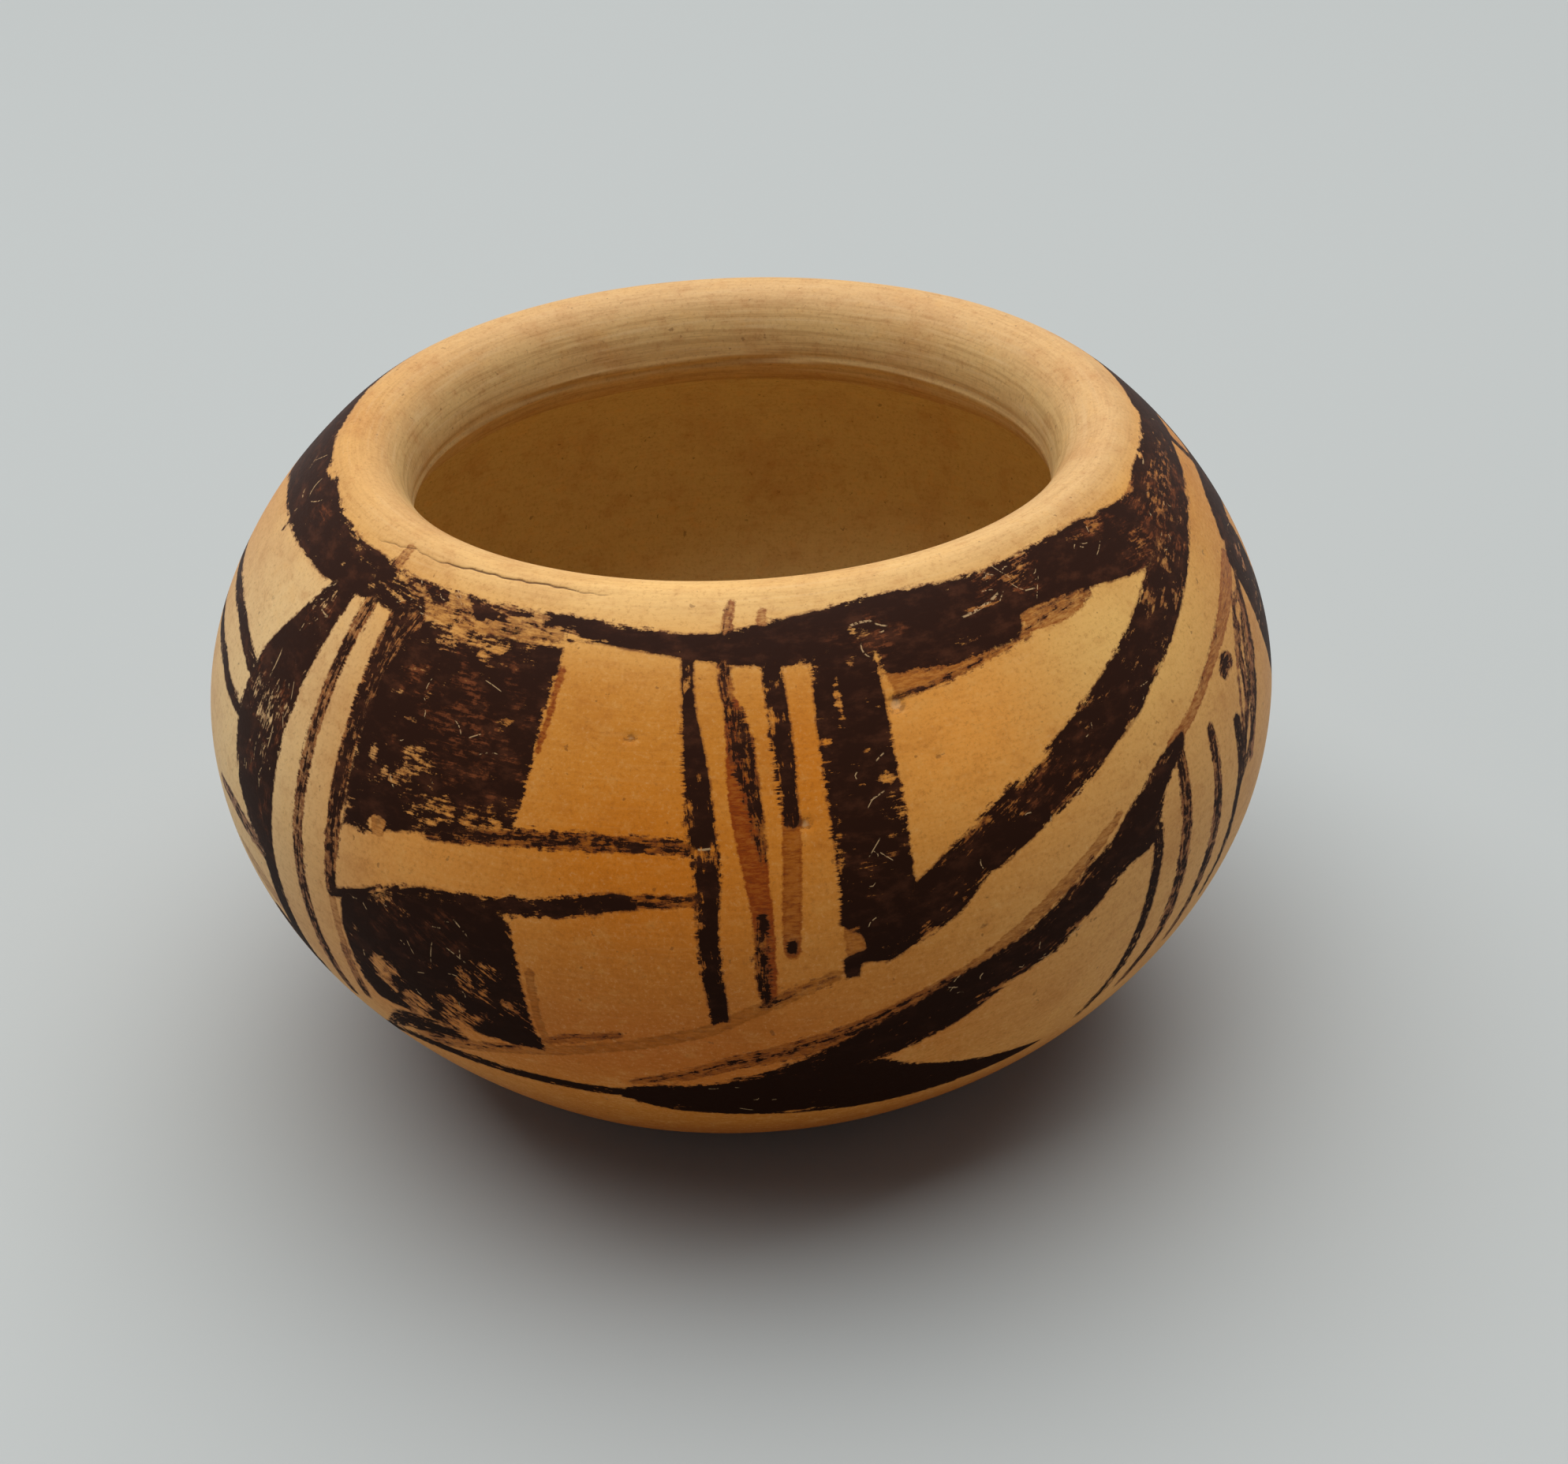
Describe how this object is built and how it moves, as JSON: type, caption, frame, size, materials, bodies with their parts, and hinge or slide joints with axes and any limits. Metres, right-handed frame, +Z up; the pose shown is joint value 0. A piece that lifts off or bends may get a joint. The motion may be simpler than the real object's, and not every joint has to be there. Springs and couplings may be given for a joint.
{
  "type": "pottery bowl",
  "caption": "Small coil-built clay bowl with a round belly, incurved shoulder, thick rolled lip and a flat foot, painted with dark bands.",
  "frame": {"origin": "centre of the flat foot, on the surface the bowl stands on", "axes": "+Z up along the axis of the bowl, -Y towards the side the picture shows"},
  "size_m": [0.12, 0.12, 0.0755],
  "materials": {
    "plain_clay": "burnished, unpainted, smoke-darkened",
    "painted_clay": "burnished slip with worn dark brown paint, low gloss",
    "rim_clay": "smoothed, pale, low gloss"
  },
  "bodies": {
    "root": {"pressed_base": "plain_clay", "wall_coil_1": "painted_clay", "wall_coil_2": "painted_clay", "wall_coil_3": "painted_clay", "wall_coil_4": "painted_clay", "rim_coil": "rim_clay"}
  },
  "joints": []
}
